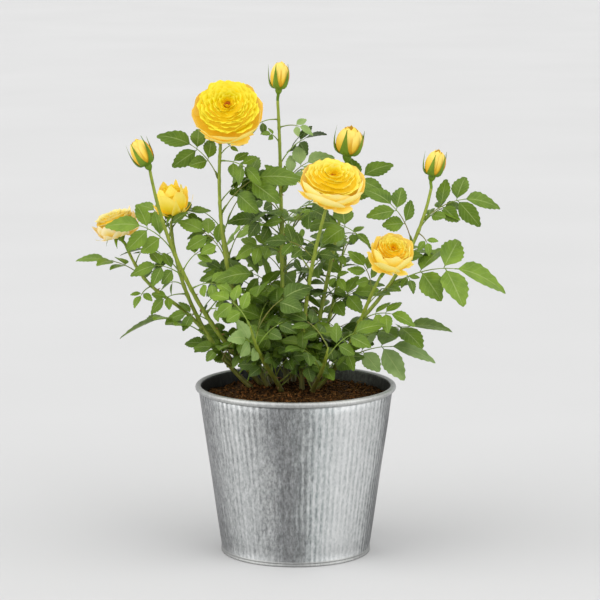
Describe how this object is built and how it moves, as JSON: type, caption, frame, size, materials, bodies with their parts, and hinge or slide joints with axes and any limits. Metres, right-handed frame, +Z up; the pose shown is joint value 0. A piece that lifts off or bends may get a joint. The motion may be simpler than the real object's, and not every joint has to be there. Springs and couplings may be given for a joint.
{
  "type": "potted patio rose bush",
  "caption": "Yellow patio rose with full double blooms, cup blooms and pointed buds on arching green canes, planted in a tapered galvanised zinc pot.",
  "frame": {"origin": "centre of the pot's flat underside, on the surface that it stands on", "axes": "+Z up, -Y towards the front that the picture shows, +X to the right"},
  "size_m": [0.4076, 0.2454, 0.4634],
  "materials": {
    "zinc": "galvanised sheet with fine upright streaks, mottled and semi-matt, with a brighter rolled rim",
    "compost": "dark brown moist potting compost, coarse and matt",
    "cane": "smooth green rose wood with small prickles, browner at the foot",
    "leaf": "semi-gloss serrated leaflets, paler underneath",
    "petal": "soft satin yellow petals, deeper orange towards the heart"
  },
  "bodies": {
    "root": {"pot": "zinc", "soil": "compost", "cane_left_low": "cane", "cane_left_tall": "cane", "cane_top_left": "cane", "cane_top": "cane", "cane_middle": "cane", "cane_right_tall": "cane", "cane_right_front": "cane", "cane_far_left": "cane", "cane_far_right": "cane", "cane_back_left": "cane", "cane_back": "cane", "cane_back_right": "cane", "cane_front_left": "cane", "cane_front_right": "cane", "leaves_left_low": "leaf", "leaves_left_tall": "leaf", "leaves_top_left": "leaf", "leaves_top": "leaf", "leaves_middle": "leaf", "leaves_right_tall": "leaf", "leaves_right_front": "leaf", "leaves_far_left": "leaf", "leaves_far_right": "leaf", "leaves_back_left": "leaf", "leaves_back": "leaf", "leaves_back_right": "leaf", "leaves_front_left": "leaf", "leaves_front_right": "leaf", "bloom_left_low": "petal", "bud_left_tall": "petal", "bloom_top_left": "petal", "bud_top": "petal", "bloom_middle": "petal", "bud_right_tall": "petal", "bloom_right_front": "petal", "bloom_far_left": "petal", "bud_far_right": "petal"}
  },
  "joints": []
}
